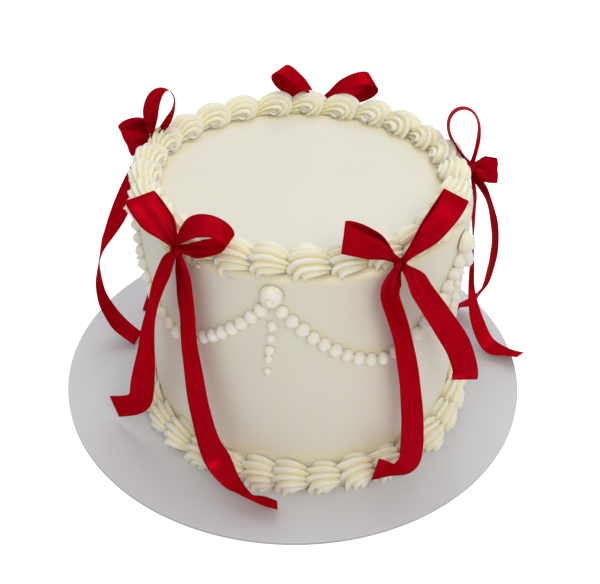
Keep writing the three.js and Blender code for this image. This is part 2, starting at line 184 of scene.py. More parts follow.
# Rosettes: a dome with a swirled groove and a nipple in its middle, sagging a little there. All
# shares are of the rosette's radius or depth.
ROSETTE_ANGLE = -99.4
ROSETTE_HEIGHT = 112.9
ROSETTE_RADIUS = 5.05
ROSETTE_DEPTH = 6
ROSETTE_SEAT = 0.4
ROSETTE_ROWS = 34
ROSETTE_SIDES = 56
DOME_POWER = 2.6
DOME_SHARE = 0.92
SWIRL_TURNS = 2.1
SWIRL_WIDTH = 0.13
SWIRL_DEPTH = 0.75
SWIRL_INNER = 0.1
SWIRL_INNER_FADE = 0.15
SWIRL_OUTER = 0.72
SWIRL_OUTER_FADE = 0.2
NIPPLE_RADIUS = 0.16
NIPPLE_RISE = 0.2
SAG = 0.9
SAG_RADIUS = 0.5
# Painted yellow shade in the swirl's groove and round the rosette's rim
SWIRL_SHADE = 0.45
ROSETTE_RIM_SHADE = 0.5
ROSETTE_RIM_FROM = 0.9

# Swags of beads, each bead a drop that tapers towards the next. A bead's sizes are shares of its
# radius, and its painted yellow shade lies where it touches the cake and the beads beside it.
SWAG_BEADS = 19
SWAG_END_ANGLE = 1.6
SWAG_TOP = 107.3
SWAG_LOW = 73.5
SWAG_HANG = 1.6
SWAG_POINTS = 2001
SWAG_SEED = 100
HEADING_STEP = 1
BEAD_RADIUS = 3.25
BEAD_SEAT = 1
BLOB_SIDES = 16
BEAD_ROWS = 15
BEAD_START = -1
BEAD_LENGTH = 2.15
BEAD_LEAN = 0.82
BEAD_FULLNESS = 0.72
BEAD_TAPER = 0.28
BEAD_TAPER_FROM = 0.45
BEAD_LEAST = 0.02
BEAD_SIZE_SPREAD = 0.14
BEAD_HEADING_SPREAD = 0.25
BEAD_SEAT_SHADE = 0.75
BEAD_SEAT_DEPTH = 0.1
BEAD_SEAT_REACH = 0.9
BEAD_TAIL_SHADE = 0.5
BEAD_TAIL_FROM = 0.8
BEAD_START_SHADE = 0.4
BEAD_START_TO = 0.15

# Pearls under each rosette, with a small tip that hangs. Each pearl's row steps sideways by the
# drift in degrees, and its own sizes are shares of its radius.
PEARL_DRIFT = -0.4
PEARL_HEIGHTS = [96.6, 89.6, 82.7, 77.8, 70.2]
PEARL_RADII = [2.35, 2.15, 2.5, 1.95, 1.75]
PEARL_SEED = 5
PEARL_ROWS = 14
PEARL_LENGTH = 1.75
PEARL_STRETCH = 1.1
PEARL_SEAT = 0.35
PEARL_CUT = 0.22
PEARL_FULLNESS = 0.85
PEARL_OUTWARDS = 3
PEARL_TIP = (0.05, 0.15, 0.35)
PEARL_TIP_DROP = 0.25
PEARL_TIP_SPREAD = 0.2
PEARL_ANGLE_SPREAD = 0.35
PEARL_SIZE_SPREAD = 0.08
# Painted yellow shade at each pearl's foot, where it sits on the cake
PEARL_SHADE = 0.8
PEARL_SHADE_TO = 0.4

# Ribbon: its size, how narrow it is gathered at the knot, how it is smoothed, and its small waves
RIBBON_WIDTH = 12
RIBBON_THICKNESS = 0.32
RIBBON_PINCH = 0.27
PINCH_LENGTH = 14
LOOP_START = 0.055
LOOP_WIDENS = 2
LOOP_STEPS = 72
TAIL_STEPS = 110
ACROSS_STEPS = 14
TURN_EASE = 8
LINE_EASE = 6
RIPPLE_DEPTH = 0.12
RIPPLE_LENGTH = 27
PLEAT_REACH = 9
PLEAT_DEPTH = 0.8
PLEAT_WAVES = 6.5
# Painted shade in the pleats, fading away from the knot
PLEAT_SHADE = 0.45
PLEAT_CONTRAST = 0.25
SHADE_REACH = 7
PHASE_SPREAD = 6
BOW_SEED = 40

# Knot: half sizes along the rim, outwards and up, the ribbon inside it, its folds and dent, and its painted
# shade
KNOT_RADII = (2.6, 2.3, 2.7)
KNOT_DROP = 1.2
KNOT_SIDES = 48
KNOT_ROWS = 21
KNOT_SQUARENESS = 3.2
KNOT_LEAST = 0.02
KNOT_GIRTH = 3
KNOT_FOLDS = 7
KNOT_FOLD_SLANT = 2.2
KNOT_FOLD_DEPTH = 0.1
DENT_WIDTH = 0.42
DENT_SLANT = 0.5
DENT_DEPTH = 0.3
DENT_SHADE = 0.75
KNOT_FOLD_SHADE = 0.6
KNOT_END_SHADE = 0.4

# Each loop: where its far end lies from the knot (along the rim, outwards, up), roll, lean, opening,
# bend, flare and twist. Each tail: angle, distance from the cake's axis, height and turn from the
# direction that its faces look, which is straight outwards with a share of upwards, the face lift.
BOWS = {
    "bow_front_left": {
        "knot": (-128.3, 85, 127.5),
        "face_lift": 1,
        "loops": [
            [-25.9, -6.5, 11, 49.1, -2.2, -5.4, -1.1, -0.6, 7.8],
            [19.6, -3.9, 18.6, -84.3, -1.6, 7.6, -7, 0.2, 32.6],
        ],
        "tails": [
            [[-133, 89, 111, 10], [-136, 91, 96, 9], [-139, 92, 79, 1], [-141, 94, 58, -20],
             [-143, 96, 40, -51], [-145, 97, 28, -59], [-150, 100, 19, -51], [-157, 105, 9, -46]],
            [[-126, 86, 115, 24], [-125, 87, 98, 10], [-125, 87, 78, 17], [-121, 91, 47, 7],
             [-117, 93, 26, 9], [-112, 95, 15, -52], [-108, 97, 9, -71], [-104, 100, 8, -93],
             [-100, 100, 7, -75], [-96, 100, 5, -81]],
        ],
    },
    "bow_front_right": {
        "knot": (-62.8, 85, 128),
        "face_lift": 1,
        "loops": [
            [-20, -13.1, 16.6, 8.3, 3.6, 3.4, -11.9, 0.3, -34.3],
            [39.1, -9.5, 16.5, -30.3, -3.3, -2.5, -11.4, -0.2, 30.2],
        ],
        "tails": [
            [[-66, 87, 116, -20], [-63, 88, 100, -14], [-59, 88, 78, -4], [-56, 90, 50, 4],
             [-56, 94, 25, 12], [-59, 98, 18, -16], [-63, 96, 15, -70], [-68, 94, 17, -29]],
            [[-60, 89, 122, -7], [-57, 92, 113, -3], [-51, 95, 96, 18], [-45.5, 97.5, 80, 40],
             [-42, 99.7, 64, 39], [-42.6, 101.2, 58, 27]],
        ],
    },
    "bow_right_back": {
        "knot": (8.5, 81, 124.5),
        "face_lift": 1,
        "loops": [
            [25.8, -0.7, 17.5, 162.9, 4.1, 9.5, -0.5, 0.1, -8.7],
            [-5.7, 11.3, -2.4, -2, -2.2, -1.7, -3.6, -0.2, -11.2],
        ],
        "tails": [
            [[8, 87, 114, -21], [8, 93, 103, -4], [9, 98, 90, 2], [11, 102, 74, 14], [14, 105, 55, 31],
             [19, 108, 36, 54], [22, 109, 22, 74], [27, 109, 11, 109], [29, 105, 4, 105]],
            [[10, 85, 109, 26], [10, 87, 97, 33], [11, 89, 84, 29], [12, 91, 70, 26], [12, 92, 57, 34],
             [12, 94, 43, 34], [12, 97, 29, 40], [11, 102, 16, 41], [9, 107, 6, 32], [7, 114, 4, 16],
             [4, 123, 6, 12]],
        ],
    },
    "bow_back": {
        "knot": (85, 84, 123),
        "face_lift": 1,
        "loops": [
            [25, -3, 14, 69, -3, -6, -5.4, -0.1, 24],
            [-28, 0, 14, -59, -1.6, 8, -1, -0.2, -21],
        ],
        "tails": [
            [[88, 88, 112, -20], [90, 90, 92, -10], [91, 91, 62, 10], [92, 93, 33, 15], [92, 99, 10, 5],
             [92, 108, 3, 0]],
            [[81, 88, 112, 15], [79, 90, 90, 20], [77, 91, 60, 10], [76, 94, 30, -10], [76, 100, 8, 0],
             [76, 110, 4, 10]],
        ],
    },
    "bow_left_back": {
        "knot": (159, 82, 127),
        "face_lift": 0,
        "loops": [
            [-11.6, -4.4, 21.5, 50.2, 0.2, -6.8, -0.4, -0.3, 42.1],
            [1, 9, 4.5, -13.1, 5.6, 7.7, -8.7, -0.1, 3.5],
        ],
        "tails": [
            [[162, 87, 117, -45], [164, 92, 105, -56], [167, 98, 90, -71], [170, 104, 77, -40],
             [171, 108, 70, -21], [171, 111, 60, -13], [170, 114, 48, -10], [170, 114, 35, -4],
             [169, 112, 24, -7], [168, 108, 12, 4], [168, 97, 3, -2]],
            [[156, 88, 112, 0], [155, 90, 90, 10], [154, 92, 60, 20], [153, 95, 30, 10],
             [152, 101, 9, 0], [151, 109, 5, -12]],
        ],
    },
}

# Camera and light, in metres and degrees, with the lens in millimetres. The floor glows only for the
# camera, and the studio's light is the share of white that the surroundings give.
EYE = (0.005, -0.372233, 0.3355)
PITCH_DEGREES = 37.521
YAW_DEGREES = -0.287
ROLL_DEGREES = 0.838
LENS = 52.73
CAMERA_NEAR = 0.01
FLOOR_HALF = 3
FLOOR_DROP = -0.0004
FLOOR_GLOW = 0.8
STUDIO_LIGHT = 0.52
CAKE_MIDDLE = (0.0, 0.0, 0.08)
# Each lamp: name, place in metres, size in metres, power in watts and colour
LAMPS = [
    ("window", (0.0, 0.25, 1.25), 0.6, 3.0, (0.96, 1.0, 1.03)),
    ("right side", (1.15, 0.22, 0.3), 0.35, 0.85, (1.0, 0.97, 0.95)),
    ("behind", (0.1, 0.9, 0.85), 0.3, 0.9, (1.0, 1.0, 1.0)),
    ("front", (0.3, -0.9, 0.9), 0.5, 3.3, (1.0, 0.91, 0.82)),
]

# Colours and other constants of the finishes
# Each cream: its own colour, a yellow that its mottling takes a little of and that is also its painted shade,
# and how much its scraper marks show
ICING_COLOURS = {"Cream": (0.845, 0.835, 0.765, 1), "Yellow Mottle And Shade": (0.92, 0.8, 0.42, 1), "Streaks": 1.0}
PIPING_COLOURS = {"Cream": (0.96, 0.945, 0.865, 1), "Yellow Mottle And Shade": (0.97, 0.85, 0.45, 1), "Streaks": 0.0}
CARD_COLOURS = {"Face": (0.715, 0.727, 0.765, 1), "Edge": (0.5, 0.49, 0.5, 1)}
# Satin: its red, a brighter red for the painted sheen in its weave, and a deep red for its painted shade
SATIN_COLOURS = {
    "Red": (0.36, 0.0, 0.005, 1),
    "Bright": (0.7, 0.004, 0.026, 1),
    "Shade Red": (0.08, 0.0, 0.002, 1),
}
CREAM_SHADER = {
    "Subsurface Weight": 0.7,
    "Subsurface Radius": (1.0, 0.85, 0.6),
    "Subsurface Scale": 0.0022,
    "Specular IOR Level": 0.35,
}
CARD_SHADER = {"Specular IOR Level": 0.4}
SATIN_SHADER = {
    "Metallic": 0.5,
    "Anisotropic": 0.6,
    "Specular Tint": (1.0, 0.25, 0.3, 1),
    "Specular IOR Level": 0.0,
}
FLOOR_SHADER = {
    "Base Color": (0.85, 0.85, 0.85, 1),
    "Roughness": 0.9,
    "Specular IOR Level": 0.1,
    "Emission Color": (1, 1, 1, 1),
}
# Bump of each finish: strength and height in metres
ICING_BUMP = (0.25, 0.0003)
PIPING_BUMP = (0.2, 0.0002)
CARD_BUMP = (0.08, 0.0001)
SATIN_BUMP = (0.5, 0.0001)
# Roughness of each finish: least value and how much the texture adds
CREAM_ROUGHNESS = (0.38, 0.16)
SATIN_ROUGHNESS = (0.31, 0.16)
CARD_ROUGHNESS = (0.32, 0.1)
# How strongly each texture shows, and how closely the scraper marks and threads lie along each axis
MOTTLE_SHARE = 0.16
GRAIN_SHARE = 0.25
THREAD_SHARE = 1.3
CLOUD_SHARE = 0.08
SCRAPER_MARKS = (4.0, 4.0, 260.0)
THREADS = (3000.0, 160.0, 1.0)


# Small helpers
def smooth(x):
    """0 up to 0 and 1 from 1 on, with a soft rise between."""
    x = np.clip(x, 0, 1)
    return x * x * (3 - 2 * x)


def rises_from(x, start):
    """0 up to the start and softly up to 1 at 1."""
    return smooth((x - start) / (1 - start))


def falls_to(x, end):
    """1 at 0 and softly down to 0 at the end."""
    return smooth(1 - x / end)


def bell(x):
    """1 at 0, falling to nothing on both sides."""
    return np.exp(-(x ** 2))


def fades(distance, reach):
    """1 up to no distance, and less and less beyond."""
    return np.exp(-np.maximum(distance, 0) / reach)


def uneven(random, spread, count=None):
    """One or more random numbers, up to half the spread above or below 0."""
    return spread * (random.random(count) - 0.5)


def unit(v):
    return v / np.linalg.norm(v, axis=-1, keepdims=True)


def rim_axes(angle):
    """The directions along the cake's rim and outwards from it."""
    a = math.radians(angle)
    return np.array([-math.sin(a), math.cos(a), 0.0]), np.array([math.cos(a), math.sin(a), 0.0])


def on_cake(angle, radius, height):
    """The point at an angle in degrees round the cake's axis and a distance from it."""
    a = math.radians(angle)
    return np.array([radius * math.cos(a), radius * math.sin(a), height])


def length_along(line):
    """The length of a line of points up to each of them."""
    return np.concatenate([[0], np.cumsum(np.linalg.norm(np.diff(line, axis=0), axis=1))])


def catmull(keys, count):
    """Points of a smooth line through the keys, spread evenly over the stretches between them."""
    p = np.asarray(keys, float)
    q = np.vstack([2 * p[0] - p[1], p, 2 * p[-1] - p[-2]])
    t = np.linspace(0, len(p) - 1, count + 1)
    i = np.minimum(t.astype(int), len(p) - 2)
    f = (t - i)[:, None]
    a, b, c, d = q[i], q[i + 1], q[i + 2], q[i + 3]
    slope, bend, swing = c - a, 2 * a - 5 * b + 4 * c - d, 3 * b - a - 3 * c + d
    return 0.5 * (2 * b + slope * f + bend * f ** 2 + swing * f ** 3)


def eased(rows, reach, ends, **settings):
    """Each column of the rows averaged over its neighbours, after np.pad has continued it past its ends."""
    weights = np.concatenate([np.arange(1, reach + 1), np.arange(reach + 1, 0, -1)]) / (reach + 1) ** 2
    padded = [np.pad(column, reach, mode=ends, **settings) for column in rows.T]
    return np.stack([np.convolve(column, weights, mode="valid") for column in padded], axis=1)


class Build:
    """Grids of points gathered into one mesh, with a value of painted shade (on the card, the share of its
    bare edge) and a place on the ribbon for each.
    """

    def __init__(self):
        self.points = []
        self.faces = []
        self.values = []
        self.places = []
        self.total = 0

    def grid(self, points, wrap_rows=False, wrap_columns=False, value=0.0, place=None):
        rows, columns = points.shape[:2]
        index = np.arange(rows * columns).reshape(rows, columns) + self.total
        if wrap_rows:
            index = np.vstack([index, index[:1]])
        if wrap_columns:
            index = np.hstack([index, index[:, :1]])
        quads = np.stack([index[:-1, :-1], index[:-1, 1:], index[1:, 1:], index[1:, :-1]], axis=-1)
        self.faces.append(quads.reshape(-1, 4))
        self.points.append(points.reshape(-1, 3))
        self.values.append(np.broadcast_to(value, (rows, columns)).reshape(-1))
        if place is None:
            place = np.zeros((rows, columns, 2))
        self.places.append(place.reshape(-1, 2))
        self.total += rows * columns

    def close_ends(self, rows, columns):
        """Faces over the two open ends of the last grid, whose rows run across one face and back."""
        first = self.total - rows * columns
        j = np.arange(columns // 2 - 1)
        end = np.stack([j, j + 1, columns - 2 - j, columns - 1 - j], axis=-1)
        self.faces.append(end[:, ::-1] + first)
        self.faces.append(end + first + (rows - 1) * columns)

    def piece(self, name, material, node, slot, on_the_cake=True):
        points = np.concatenate(self.points)
        if on_the_cake:
            points = points + [*CAKE_SHIFT, BOARD_THICKNESS]
        faces = np.concatenate(self.faces)
        mesh = bpy.data.meshes.new(name)
        mesh.from_pydata((points * MM).tolist(), [], faces.tolist())
        mesh.polygons.foreach_set("use_smooth", [True] * len(mesh.polygons))
        # Painted shade of cream and satin, and the share of bare edge on the card
        shade_and_card_edge = mesh.attributes.new("shade_and_card_edge", "FLOAT", "POINT")
        shade_and_card_edge.data.foreach_set("value", np.concatenate(self.values).astype(np.float32))
        places = np.concatenate(self.places)
        layer = mesh.uv_layers.new(name="place")
        corners = np.empty(len(mesh.loops), dtype=np.int32)
        mesh.loops.foreach_get("vertex_index", corners)
        layer.data.foreach_set("uv", places[corners].astype(np.float32).ravel())
        mesh.validate()
        mesh.materials.append(material)
        obj = bpy.data.objects.new(name, mesh)
        bpy.context.scene.collection.objects.link(obj)
        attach(obj, "root")
        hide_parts(node)
        return obj


# Materials
LOOK_OUTPUTS = [("Color", "NodeSocketColor"), ("Roughness", "NodeSocketFloat"), ("Height", "NodeSocketFloat")]


def new_group(name, colours, numbers):
    """A node group that puts out a colour, a roughness and a height for the bump."""
    group = bpy.data.node_groups.new(name, "ShaderNodeTree")
    for label in colours:
        group.interface.new_socket(label, in_out="INPUT", socket_type="NodeSocketColor")
    for label in numbers:
        group.interface.new_socket(label, in_out="INPUT", socket_type="NodeSocketFloat")
    for label, kind in LOOK_OUTPUTS:
        group.interface.new_socket(label, in_out="OUTPUT", socket_type=kind)
    return group, group.nodes.new("NodeGroupInput"), group.nodes.new("NodeGroupOutput")


def add(tree, kind, **settings):
    """A new node with its settings, each a property of the node or the value of an input."""
    node = tree.nodes.new(kind)
    for key, value in settings.items():
        if key in node.bl_rna.properties:
            setattr(node, key, value)
        else:
            node.inputs[key.replace("_", " ")].default_value = value
    return node


def set_or_link(tree, socket, value):
    if isinstance(value, (int, float, tuple)):
        socket.default_value = value
    else:
        tree.links.new(value, socket)


def math_node(tree, operation, *values):
    """The result of an operation on values that are numbers or sockets."""
    node = tree.nodes.new("ShaderNodeMath")
    node.operation = operation
    for socket, value in zip(node.inputs, values):
        set_or_link(tree, socket, value)
    return node.outputs[0]


def roughness(tree, texture, least_and_spread):
    """A roughness that rises with the texture from its least value."""
    least, spread = least_and_spread
    return math_node(tree, "MULTIPLY_ADD", texture, spread, least)


def mix_colour(tree, share, a, b):
    node = tree.nodes.new("ShaderNodeMix")
    node.data_type = "RGBA"
    colours = [socket for socket in node.inputs if socket.type == "RGBA"]
    for socket, value in zip((node.inputs[0], *colours), (share, a, b)):
        set_or_link(tree, socket, value)
    return next(socket for socket in node.outputs if socket.type == "RGBA")


def stretched(tree, place, scale):
    """A place with its axes scaled, for long marks and threads."""
    node = tree.nodes.new("ShaderNodeMapping")
    node.inputs["Scale"].default_value = scale
    tree.links.new(place, node.inputs["Vector"])
    return node.outputs["Vector"]


def noise(tree, place, **settings):
    """The value of a noise texture at a place."""
    node = add(tree, "ShaderNodeTexNoise", **settings)
    tree.links.new(place, node.inputs["Vector"])
    return node.outputs["Fac"]


def cream_group():
    """Cream: soft mottling, painted yellow shade in its creases and where pieces meet, fine grain and scraper
    marks.
    """
    group, inside, outside = new_group("cream look", ["Cream", "Yellow Mottle And Shade"], ["Crease", "Streaks"])
    place = group.nodes.new("ShaderNodeTexCoord").outputs["Object"]
    mottle = noise(group, place, Scale=45.0, Detail=4.0, Roughness=0.6)
    grain = noise(group, place, Scale=1100.0, Detail=3.0, Roughness=0.6)
    marks = noise(group, stretched(group, place, SCRAPER_MARKS), Scale=1.0, Detail=3.0, Roughness=0.55)
    share = math_node(group, "MULTIPLY", mottle, MOTTLE_SHARE)
    tinted = mix_colour(group, share, inside.outputs["Cream"], inside.outputs["Yellow Mottle And Shade"])
    # Painted yellow shade, standing in for light scattered inside the cream
    shaded = mix_colour(group, inside.outputs["Crease"], tinted, inside.outputs["Yellow Mottle And Shade"])
    group.links.new(shaded, outside.inputs["Color"])
    group.links.new(roughness(group, mottle, CREAM_ROUGHNESS), outside.inputs["Roughness"])
    streaks = math_node(group, "MULTIPLY", marks, inside.outputs["Streaks"])
    fine = math_node(group, "MULTIPLY", grain, GRAIN_SHARE)
    group.links.new(math_node(group, "ADD", streaks, fine), outside.inputs["Height"])
    return group


def satin_group():
    """Satin: crimson with a painted sheen in a pattern of fine threads across the ribbon, and painted shade
    in its folds.
    """
    group, inside, outside = new_group("satin look", ["Red", "Bright", "Shade Red"], ["Crease"])
    place = add(group, "ShaderNodeUVMap", uv_map="place").outputs["UV"]
    threads = noise(group, stretched(group, place, THREADS), Scale=1.0, Detail=2.0, Roughness=0.6)
    cloud = noise(group, place, Scale=70.0, Detail=3.0, Roughness=0.6)
    share = math_node(group, "MULTIPLY", math_node(group, "MULTIPLY", threads, cloud), THREAD_SHARE)
    # Painted sheen, in the pattern of the weave's threads
    woven_sheen = mix_colour(group, share, inside.outputs["Red"], inside.outputs["Bright"])
    # Painted shade in the folds and near the knot
    fold_shaded = mix_colour(group, inside.outputs["Crease"], woven_sheen, inside.outputs["Shade Red"])
    group.links.new(fold_shaded, outside.inputs["Color"])
    group.links.new(roughness(group, threads, SATIN_ROUGHNESS), outside.inputs["Roughness"])
    group.links.new(threads, outside.inputs["Height"])
    return group


def card_group():
    """Coated card: a smooth pale face with faint cloudiness, and a duller fibrous edge."""
    group, inside, outside = new_group("card look", ["Face", "Edge"], ["Crease"])
    place = group.nodes.new("ShaderNodeTexCoord").outputs["Object"]
    cloud = noise(group, place, Scale=30.0, Detail=3.0, Roughness=0.5)
    fibre = noise(group, place, Scale=900.0, Detail=2.0, Roughness=0.5)
    faint = math_node(group, "MULTIPLY", cloud, CLOUD_SHARE)
    share = math_node(group, "ADD", faint, inside.outputs["Crease"])
    face = mix_colour(group, share, inside.outputs["Face"], inside.outputs["Edge"])
    group.links.new(face, outside.inputs["Color"])
    group.links.new(roughness(group, cloud, CARD_ROUGHNESS), outside.inputs["Roughness"])
    group.links.new(fibre, outside.inputs["Height"])
    return group


def finish(name, group, colours, bump, constants):
    """A material whose shader takes its colour, roughness and bump from a shared group."""
    material = bpy.data.materials.new(name)
    material.use_nodes = True
    tree = material.node_tree
    shader = tree.nodes["Principled BSDF"]
    look = tree.nodes.new("ShaderNodeGroup")
    look.node_tree = group
    for label, value in colours.items():
        look.inputs[label].default_value = value
    # Painted shade of cream and satin; on the card, the share of its bare edge
    shade_and_card_edge = add(tree, "ShaderNodeAttribute", attribute_name="shade_and_card_edge")
    tree.links.new(shade_and_card_edge.outputs["Fac"], look.inputs["Crease"])
    tree.links.new(look.outputs["Color"], shader.inputs["Base Color"])
    tree.links.new(look.outputs["Roughness"], shader.inputs["Roughness"])
    relief = add(tree, "ShaderNodeBump", Strength=bump[0], Distance=bump[1])
    tree.links.new(look.outputs["Height"], relief.inputs["Height"])
    tree.links.new(relief.outputs["Normal"], shader.inputs["Normal"])
    for label, value in constants.items():
        shader.inputs[label].default_value = value
    return material


cream = cream_group()
icing = finish("icing", cream, ICING_COLOURS, ICING_BUMP, CREAM_SHADER)
piping = finish("piping", cream, PIPING_COLOURS, PIPING_BUMP, CREAM_SHADER)
card = finish("board card", card_group(), CARD_COLOURS, CARD_BUMP, CARD_SHADER)
satin = finish("satin", satin_group(), SATIN_COLOURS, SATIN_BUMP, SATIN_SHADER)
# The satin's sheen runs along the ribbon
tangent = add(satin.node_tree, "ShaderNodeTangent", direction_type="UV_MAP", uv_map="place")
satin_shader = satin.node_tree.nodes["Principled BSDF"]
satin.node_tree.links.new(tangent.outputs["Tangent"], satin_shader.inputs["Tangent"])


# Board
def lathe(profile, sides):
    """A surface of revolution: rows go round, columns follow the profile of (radius, height)."""
    profile = np.asarray(profile, float)
    angle = np.linspace(0, 2 * math.pi, sides, endpoint=False)[:, None]
    radius, height = profile[None, :, 0], profile[None, :, 1]
    return np.stack([radius * np.cos(angle), radius * np.sin(angle), height + 0 * angle], axis=-1)


def board_piece():
    r, t, e = BOARD_RADIUS, BOARD_THICKNESS, BOARD_EDGE_ROUND
    underside = [[AXIS_RADIUS, 0], [r / 2, 0], [r - e, 0]]
    edge = [[r, e], [r, t - e], [r - e, t]]
    face = [[radius, t] for radius in np.linspace(r - 2 * e, AXIS_RADIUS, BOARD_RINGS)]
    bare_card = [1] * len(underside) + [1, BOARD_EDGE_FADE, 0] + [0] * len(face)
    build = Build()
    build.grid(lathe(underside + edge + face, BOARD_SIDES), wrap_rows=True, value=bare_card)
    return build.piece("cake_board", card, "board", "board_card", on_the_cake=False)


# Piped shells
def shell_points(border, pitch, angle, size, random):
    """One piped shell and the painted yellow shade at each of its points."""
    keys = catmull(SHELL_KEYS, SHELL_STEPS)
    teeth = border["teeth"]
    tooth = np.arange(teeth * TOOTH_POINTS) // TOOTH_POINTS
    around = np.arange(teeth * TOOTH_POINTS) / (teeth * TOOTH_POINTS)
    wave = np.abs(np.sin(math.pi * teeth * around))
    lobe = (1 - TOOTH_FULLNESS) * wave ** 2 + TOOTH_FULLNESS * wave
    lobe_size = 1 + uneven(random, TOOTH_SIZE_SPREAD, teeth)[tooth] * wave
    lean = math.radians(border["tilt"] + uneven(random, SHELL_LEAN_SPREAD))
    skew = math.radians(uneven(random, SHELL_SKEW_SPREAD))
    curl = TOOTH_TWIST * (1 + uneven(random, SHELL_TWIST_SPREAD))
    # Painted yellow shade in the grooves between the lobes
    groove_shade = GROOVE_SHADE * (1 - lobe) ** GROOVE_SHARPNESS
    rows = []
    shade_rows = []
    for step, (place, rise, girth, heading, hang) in enumerate(keys):
        u = step / SHELL_STEPS
        rim, out = rim_axes(angle + place * pitch)
        upright = UP * math.cos(lean) + out * math.sin(lean)
        level = np.cross(rim, upright)
        along = rim * math.cos(skew) + level * math.sin(skew)
        across = level * math.cos(skew) - rim * math.sin(skew)
        centre = on_cake(angle + place * pitch, border["radius"], border["base"]) + [*border["shift"], 0]
        centre = centre + upright * rise * border["height"] * size + out * hang * border["girth"]
        turn = math.radians(heading)
        over = upright * math.cos(turn) - along * math.sin(turn)
        a = 2 * math.pi * around + math.radians(curl * (u - TWIST_START))
        depth = TOOTH_DEPTH * (TOOTH_START_DEPTH + (1 - TOOTH_START_DEPTH) * smooth(u / TOOTH_START))
        radius = border["girth"] * girth * size * (1 - depth * (1 - lobe)) * lobe_size
        rows.append(centre + np.outer(radius * np.cos(a), over) + np.outer(radius * np.sin(a), across))
        # Painted yellow shade where the tail tucks under the next shell, and under the head
        end_shade = TAIL_SHADE * rises_from(u, TAIL_FROM) + START_SHADE * falls_to(u, START_TO)
        shade_rows.append(groove_shade + end_shade)
    return np.array(rows), np.array(shade_rows)


def border_piece(name, border, node, lowest):
    """A row of shells round the cake, cut off level at its lowest height."""
    random = np.random.default_rng(border["seed"])
    pitch = 360 / border["shells"]
    build = Build()
    for i in range(border["shells"]):
        even = border["start"] + pitch * (i + uneven(random, SHELL_PLACE_SPREAD))
        from_front = math.radians(even - FRONT_ANGLE)
        angle = even - math.degrees(border["crowding"] * math.sin(from_front))
        here = pitch * (1 - border["crowding"] * math.cos(from_front))
        size = 1 + uneven(random, SHELL_SIZE_SPREAD)
        points, shade_and_card_edge = shell_points(border, here, angle, size, random)
        points[..., 2] = np.maximum(points[..., 2], lowest)
        # Painted yellow shade low down, where the shells sit on the board or on the cake's top
        low = falls_to(points[..., 2] - border["base"], LOW_REACH)
        build.grid(points, wrap_columns=True, value=np.clip(shade_and_card_edge + LOW_SHADE * low, 0, 1))
    return build.piece(name, piping, node, "piping")


# Beads, pearls and rosettes
def blob(centre, axis, side, profile):
    """A round blob about an axis, from (place along the axis, radius) pairs."""
    other = np.cross(axis, side)
    a = np.linspace(0, 2 * math.pi, BLOB_SIDES, endpoint=False)
    ring = np.outer(np.cos(a), side) + np.outer(np.sin(a), other)
    return centre + profile[:, :1, None] * axis + profile[:, 1, None, None] * ring


def swag_line(start):
    """A swag's line as closely spaced points on the cake's side, and the length up to each."""
    u = np.linspace(0, 1, SWAG_POINTS)
    angle = np.radians(start + SWAG_END_ANGLE + (STEP_ANGLE - 2 * SWAG_END_ANGLE) * u)
    height = SWAG_LOW + (SWAG_TOP - SWAG_LOW) * np.abs(2 * u - 1) ** SWAG_HANG
    seat = CAKE_RADIUS + BEAD_SEAT
    line = np.stack([seat * np.cos(angle), seat * np.sin(angle), height], axis=-1)
    return line, length_along(line)


def at_length(line, length, wanted):
    """The points of a line at the wanted lengths along it."""
    return np.stack([np.interp(wanted, length, line[:, k]) for k in range(3)], axis=-1)


def bead_places(line, length):
    """How far along a swag the middle of each of its beads lies, and where that is."""
    middles = (np.arange(SWAG_BEADS) + 0.5) / SWAG_BEADS * length[-1]
    return middles, at_length(line, length, middles)


def swag_piece(index, start):
    random = np.random.default_rng(SWAG_SEED + index)
    line, length = swag_line(start)
    middles, centres = bead_places(line, length)
    t = np.linspace(0, 1, BEAD_ROWS)
    bulb = np.sin(math.pi * t ** BEAD_LEAN) ** BEAD_FULLNESS
    taper = 1 - BEAD_TAPER * rises_from(t, BEAD_TAPER_FROM)
    # Painted yellow shade at each bead's ends, where the beads meet
    tail_shade = BEAD_TAIL_SHADE * rises_from(t, BEAD_TAIL_FROM)
    start_shade = BEAD_START_SHADE * falls_to(t, BEAD_START_TO)
    end_shade = (tail_shade + start_shade)[:, None]
    build = Build()
    for middle, centre in zip(middles, centres):
        heading = unit(at_length(line, length, middle + HEADING_STEP) - centre)
        out = unit(centre * [1, 1, 0])
        heading = unit(heading + uneven(random, BEAD_HEADING_SPREAD) * UP)
        side = unit(np.cross(heading, out))
        r = BEAD_RADIUS * (1 + uneven(random, BEAD_SIZE_SPREAD))
        profile = np.stack([(BEAD_START + BEAD_LENGTH * t) * r, r * bulb * taper + BEAD_LEAST], axis=-1)
        points = blob(centre, heading, side, profile)
        depth = ((points - centre) @ out) / r
        # Painted yellow shade where the bead sits on the cake
        seat_shade = BEAD_SEAT_SHADE * smooth((BEAD_SEAT_DEPTH - depth) / BEAD_SEAT_REACH)
        build.grid(points, wrap_columns=True, value=np.clip(seat_shade + end_shade, 0, 1))
    return build.piece(f"swag_beads_{index}", piping, f"swag_{index}", "piping")


def pearl_places():
    """The angle, height and radius of every pearl."""
    return [
        (ROSETTE_ANGLE + STEP_ANGLE * i + PEARL_DRIFT * k, height, radius)
        for i in range(ROSETTE_COUNT)
        for k, (height, radius) in enumerate(zip(PEARL_HEIGHTS, PEARL_RADII))
    ]


